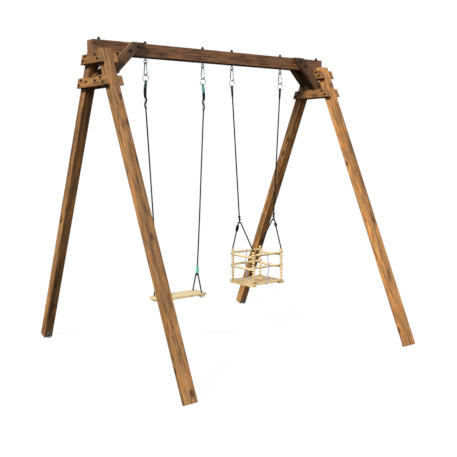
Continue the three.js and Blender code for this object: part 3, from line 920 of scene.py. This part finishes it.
def knot_part(centre, size, cord_radius, turn=0.0):
    """A pulled-tight overhand knot."""
    t = np.linspace(0, TURN, 90, endpoint=False)
    scale = size / 3
    x = scale * (np.sin(t) + 2 * np.sin(2 * t))
    y = scale * (np.cos(t) - 2 * np.cos(2 * t))
    z = -scale * 1.1 * np.sin(3 * t)
    c, s = math.cos(turn), math.sin(turn)
    line = np.column_stack([c * x - s * y, s * x + c * y, z]) + np.asarray(centre, float)
    return tube(line, cord_radius, 10, closed=True)


def ring_foot(swing, side_name):
    """Where a rope hangs in its steel ring: x, and the height of the wire's middle."""
    low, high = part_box(f"hook_ring_{swing}_{side_name}")
    return (low.x + high.x) / 2, low.z + (high.y - low.y) / 2


def add_rope_turn(side_name, green):
    """The plain rope's turn round the ring."""
    radius = 0.0078
    x, wire_z = ring_foot("plain", side_name)
    bend = [(x, radius * math.cos(a), wire_z + radius * math.sin(a)) for a in np.linspace(0, math.pi, 17)]
    loop = [(x, 0.0052, wire_z - 0.030), (x, 0.0076, wire_z - 0.012), *bend,
            (x, -0.0076, wire_z - 0.012), (x, -0.0052, wire_z - 0.030)]
    name = "rope_turn_plain_" + side_name
    braided_piece(name, smooth_line(loop, 0.0016), 0.0048, "plain_hang", green)


def add_plain_sleeves(side_name, side, green):
    """The green sleeve below the ring and the black one under it."""
    split = 2.082 if side < 0 else 2.070
    add_shroud("green_sleeve_" + side_name, "plain", side, split - 0.004, SLEEVE_TOP,
               (0.0215, 0.0190, 0.0170), (0.0190, 0.0235, 0.0245), green, outward=0.004)
    add_shroud("black_sleeve_" + side_name, "plain", side, 2.008, split,
               (0.0175, 0.0160, 0.0140), (0.0240, 0.0240, 0.0200), BLACK_SLEEVE, outward=0.004)


def add_adjuster(side_name, side):
    """The plain rope's length adjuster: a winding bar, a thin loop and three collars."""
    count, span = 60, ADJUSTER_TOP - ADJUSTER_BOTTOM
    share = np.linspace(-0.04, 1.04, count)
    core = np.array([on_route("plain", side, z) for z in ADJUSTER_TOP - span * share])
    bars = []
    for reach, radius in ((0.0078, 0.0060), (-0.0110, 0.0013)):
        out = -side * reach * np.sin(TURN * np.clip(share, 0, 1))
        line = core + np.outer(out, X_AXIS)
        bars.append(tube(line, rounded_ends(count, radius, 4), 12))
    for level in (-0.02, 0.5, 1.02):
        z = ADJUSTER_TOP - span * level
        collar = [tuple(on_route("plain", side, z + dz)) for dz in np.linspace(0.005, -0.005, 10)]
        bars.append(tube(collar, rounded_ends(10, 0.0095, 3), 16))
    piece("adjuster_" + side_name, bars, "plain_hang", BLACK_PLASTIC, sharp=60)


def add_plain_apex(side_name, side):
    """The eye at the foot of the main rope that carries the plain swing's V rope."""
    x = SWINGS["plain"] + side * ROUTES["rope_plain"][-1][0]
    loop = ring_part((x, 0, 0.608), 0.0110, 0.0040, X_AXIS, Z_AXIS)
    piece("rope_eye_plain_" + side_name, [loop], "plain_hang", BLACK_SLEEVE)
    add_shroud("teal_sleeve_" + side_name, "plain", side, 0.612, 0.673,
               (0.0190, 0.0240, 0.0210), (0.0210, 0.0270, 0.0240), AQUA_SLEEVE, wrinkle=0.02)


def add_baby_top(side_name, side):
    """The thimble round the ring and the tapered sleeve below it."""
    x, wire_z = ring_foot("baby", side_name)
    loop = ring_part((x, 0, wire_z - 0.0044), 0.0112, 0.0043, Y_AXIS, Z_AXIS)
    steel = black_coat("thimble_steel_" + side_name, 0.05, 0.3, metallic=0.8)
    piece("thimble_" + side_name, [loop], "baby_hang", steel)
    add_shroud("baby_sleeve_" + side_name, "baby", side, 2.046, 2.1175,
               (0.0190, 0.0165, 0.0135), (0.0170, 0.0180, 0.0150), BLACK_SLEEVE)


def add_baby_apex(side_name, side):
    """The steel ring that carries the baby swing's V rope, the knot above it and the splice below."""
    ring_z, loop_z, knot_z, size, cord = 1.0065, 1.0265, 1.046, 0.0085, 0.0042
    x = SWINGS["baby"] + side * ROUTES["rope_baby"][-1][0]
    ring = ring_part((x, 0, ring_z), 0.0140, 0.0024, X_AXIS, Z_AXIS, 40)
    piece("apex_ring_" + side_name, [ring], "baby_hang", ZINC)
    parts = [knot_part((x + side * 0.0025, 0, knot_z), size, cord, side * 0.8),
             ring_part((x, 0, loop_z), size, cord, Y_AXIS, Z_AXIS)]
    piece("apex_knot_" + side_name, parts, "baby_hang", BLACK_SLEEVE)
    far = ROUTES["seat_rope_baby"][:6]
    line = smooth_line([(SWINGS["baby"] + side * px, -side * abs(py), pz) for px, py, pz in far], 0.003)
    low, high = 0.916 if side < 0 else 0.940, 0.993
    line = line[(line[:, 2] > low) & (line[:, 2] < high)]
    radii = np.interp(np.linspace(0, 1, len(line)), (0, 0.15, 0.8, 1), (0.0085, 0.0120, 0.0135, 0.0100))
    piece("splice_sleeve_" + side_name, [tube(line, radii, 16)], "baby_seat", BLACK_SLEEVE)


def add_seat_knots():
    """Knots under the plank and the flat stops of the crotch cord on the top rails."""
    plank_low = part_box("plank_seat")[0].z
    for side_name, side in SIDES:
        x = SWINGS["plain"] + side * ROUTES["seat_rope_plain"][0][0]
        parts = [knot_part((x, y, plank_low - 0.0048), 0.0060, 0.0026, y * 20) for y in (-0.061, 0.061)]
        piece(f"plank_knots_{side_name}", parts, "plain_seat", DARK_ROPE)
    stop = ROUTES["crotch_cord"][0][2] - 0.003
    parts = [ring_part((SWINGS["baby"], y, stop), 0.0048, 0.0024, X_AXIS, Y_AXIS) for y in (-CAGE_Y, CAGE_Y)]
    piece("crotch_stops", parts, "baby_seat", LILAC_CORD)


for side_name, side in SIDES:
    green = GREEN_SLEEVE if side < 0 else TEAL_SLEEVE
    add_rope_turn(side_name, green)
    add_plain_sleeves(side_name, side, green)
    add_adjuster(side_name, side)
    add_plain_apex(side_name, side)
    add_baby_top(side_name, side)
    add_baby_apex(side_name, side)
add_seat_knots()


# Seats.
def pale_pine(name, centre, grain, index, knots=0.5, tones=PALE):
    return pine("varnished_" + name, centre, grain, spread_seed(index), tones, 0.0042, knots, 0.38)


def screw_head(place, radius=0.0042):
    """A countersunk screw head with a cross recess, set just proud of the wood."""
    lip, top = 0.0001, 0.0003
    disc = turned([(0, -0.001), (radius, -0.001), (radius, lip), (radius * 0.9, top), (0, top)], 24)
    long, short = radius * 0.62, radius * 0.14
    bars = [box_part((-x, -y, 0.0002), (x, y, 0.0006), 0.0001) for x, y in ((long, short), (short, long))]
    return place_parts([disc, *bars], Z_AXIS, place)


def add_screws(name, places, body):
    parts = [part for place in places for part in screw_head(place)]
    piece(name, parts, body, ZINC, sharp=25)


def add_plank():
    middle, top = node_middle("plank_seat"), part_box("plank_seat")[1].z
    # The plank takes the lighter copy of the pale pine tones: painted light.
    dress_board("plank_seat", pale_pine("plank", middle, X_AXIS, 3, tones=PALE_WITH_PAINTED_LIGHT), 0.0035, 3)
    places = [(middle.x + side * 0.1935, y, top) for _, side in SIDES for y in (-0.030, 0.030)]
    add_screws("plank_screws", places, "plain_seat")


def rail_part(half_length, end_radius=0.0087, middle_radius=0.0100):
    """A turned rail along X, thinner towards its rounded ends."""
    rounding = end_radius * 0.55
    profile = [(0, -half_length)]
    for a in np.linspace(0, math.pi / 2, 6):
        z = -half_length + rounding * (1 - math.cos(a))
        profile.append((end_radius - rounding + rounding * math.sin(a), z))
    for share in np.linspace(0, 1, 9):
        ease = share * share * (3 - 2 * share)
        z = -half_length + 0.044 + 0.040 * share
        profile.append((end_radius + (middle_radius - end_radius) * ease, z))
    profile += [(r, -z) for r, z in reversed(profile)]
    return moved(turned(profile, 24), facing(X_AXIS, (0, 0, 0)))


def add_rails():
    places = ("front", "back", "left", "right")
    names = [f"rail_{level}_{place}" for level in ("top", "mid") for place in places]
    for index, node in enumerate(names, 5):
        low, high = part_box(node)
        size, middle = high - low, (low + high) / 2
        along_x = size.x > size.y
        turn = Matrix.Identity(4) if along_x else Matrix.Rotation(math.pi / 2, 4, "Z")
        part = moved(rail_part(max(size.x, size.y) / 2), Matrix.Translation(middle) @ turn)
        # The rails take the lighter copy of the pale pine tones: painted light.
        material = pale_pine(node, middle, X_AXIS if along_x else Y_AXIS, index, 0.25, PALE_WITH_PAINTED_LIGHT)
        piece(node + "_turned", [part], "baby_seat", material, instead_of=node)


BEAD_RADIUS, BEAD_FILL, BEAD_OVERLAP = 0.0132, 0.84, 0.0013


def bead_part(x, y, low, high):
    """One turned bead, nearly a ball, with a gap to its neighbours."""
    middle, half, cut = (low + high) / 2, (high - low) / 2 * BEAD_FILL, 1.42
    profile = [(0, middle - half)]
    for a in np.linspace(-cut, cut, 17):
        profile.append((BEAD_RADIUS * math.cos(a), middle + half * math.sin(a) / math.sin(cut)))
    profile.append((0, middle + half))
    return moved(turned(profile, 20), Matrix.Translation((x, y, 0)))


def bead_stacks():
    """The bottom and top of each bead in a column, between the base and the rails."""
    rail = {name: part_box("rail_" + name) for name in ("mid_left", "mid_front", "top_left", "top_front")}
    stacks = []
    for start, end, count in (
        (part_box("base_board_middle")[1].z, rail["mid_left"][0].z + BEAD_OVERLAP, 4),
        (rail["mid_front"][1].z - BEAD_OVERLAP, rail["top_left"][0].z + BEAD_OVERLAP, 3),
        (rail["top_front"][1].z - BEAD_OVERLAP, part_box("bead_column_front_left")[1].z, 1),
    ):
        marks = np.linspace(start, end, count + 1)
        stacks += list(zip(marks, marks[1:], strict=False))
    return stacks


def add_bead_columns():
    stacks = bead_stacks()
    for index, (label, side, end) in enumerate(CORNERS, 20):
        node = "bead_column_" + label
        x, y = SWINGS["baby"] + side * CAGE_X, end * CAGE_Y
        parts = [bead_part(x, y, low, high) for low, high in stacks]
        material = pale_pine(node, (x, y, 0.6), Z_AXIS, index, 0.0)
        piece("beads_" + label, parts, "baby_seat", material, instead_of=node)
        core = tube([(x, y, stacks[0][0]), (x, y, stacks[-1][0])], 0.0024, 12)
        # the core cord's darker colour stands partly for the shade between the beads: painted shade
        piece("bead_cord_" + label, [core], "baby_seat", BEAD_CORD_WITH_PAINTED_SHADE)


def add_base():
    for index, place in enumerate(("front", "middle", "back"), 30):
        name = "base_board_" + place
        dress_board(name, pale_pine(name, node_middle(name), X_AXIS, index), 0.0025, 3)
    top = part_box("base_board_middle")[1].z
    for side_name, side in SIDES:
        name = "base_batten_" + side_name
        middle = node_middle(name)
        dress_board(name, pale_pine(name, middle, Y_AXIS, 35 + side), 0.002, 2)
        places = [(middle.x, y, top) for y in (-0.080, -0.030, 0.030, 0.080)]
        add_screws("base_screws_" + side_name, places, "baby_seat")


add_plank()
add_rails()
add_bead_columns()
add_base()


# Stage, lights and output.
def pale_floor():
    """A white studio floor: nearly all its brightness is its own, so that shadows stay faint."""
    shader = Shader("pale_floor")
    cloud = shader.noise(shader.place(), 0.6, 2)
    shader.set(Base_Color=shader.ramp(cloud, [(0.3, grey(0.050)), (0.7, grey(0.058))]), Roughness=1.0)
    shader.set(Specular_IOR_Level=0.0, Emission_Color=(1, 1, 1, 1), Emission_Strength=0.95)
    return shader.material


def white_backdrop():
    shader = Shader("white_backdrop")
    shader.set(Base_Color=(0, 0, 0, 1), Roughness=1.0, Emission_Color=(1, 1, 1, 1), Emission_Strength=1.0)
    return shader.material


def hide_from(made, *rays):
    for ray in rays:
        setattr(made, "visible_" + ray, False)


def add_stage():
    size, count = 40.0, 64
    rim = [(x, y, 0) for x, y in circle(count) * size]
    floor = mesh_object("floor", rim, [tuple(range(count))], pale_floor())
    floor.location.z = -0.0005
    hide_from(floor, "diffuse", "glossy")
    arc = np.linspace(-0.02, 1.57, 14)
    dome, faces = turned([(size * math.cos(a), size * math.sin(a) - 1) for a in arc], 48)
    backdrop = mesh_object("backdrop", dome.tolist(), faces, white_backdrop())
    hide_from(backdrop, "diffuse", "glossy", "shadow", "transmission")


def add_sun(name, energy, direction, degrees, colour=(1, 1, 1)):
    """A sun of a given width in the sky, shining along direction."""
    data = bpy.data.lights.new(name, "SUN")
    data.energy = energy
    data.angle = math.radians(degrees)
    data.color = colour
    lamp = in_scene(bpy.data.objects.new(name, data))
    way = Vector(direction).normalized()
    lamp.location = Vector((0, 0, 1.2)) - way * 7
    lamp.rotation_mode = "QUATERNION"
    lamp.rotation_quaternion = way.to_track_quat("-Z", "Y")
    return lamp


def add_sky():
    """Dim and brown below the horizon, pale blue above it."""
    sky = Shader("studio", bpy.data.worlds, "Background")
    place = sky.node("ShaderNodeTexCoord").outputs["Generated"]
    height = sky.node("ShaderNodeSeparateXYZ", {0: place}).outputs["Z"]
    share = sky.math("MULTIPLY_ADD", height, 0.5, 0.5)
    sky.set(Color=sky.ramp(share, [(0.44, (0.035, 0.030, 0.024)), (0.60, (0.40, 0.43, 0.48))]))
    bpy.context.scene.world = sky.material


def add_lights():
    add_sun("key", 4.3, (0.78, 0.36, -0.60), 12, (1.0, 0.97, 0.92))
    add_sun("front_fill", 0.5, (0.25, 1.0, -0.35), 50)
    hide_from(add_sun("back_fill", 1.1, (-0.75, -0.85, -0.04), 30), "glossy")


bpy.context.scene.view_settings.view_transform = "Standard"
add_stage()
add_sky()
add_lights()
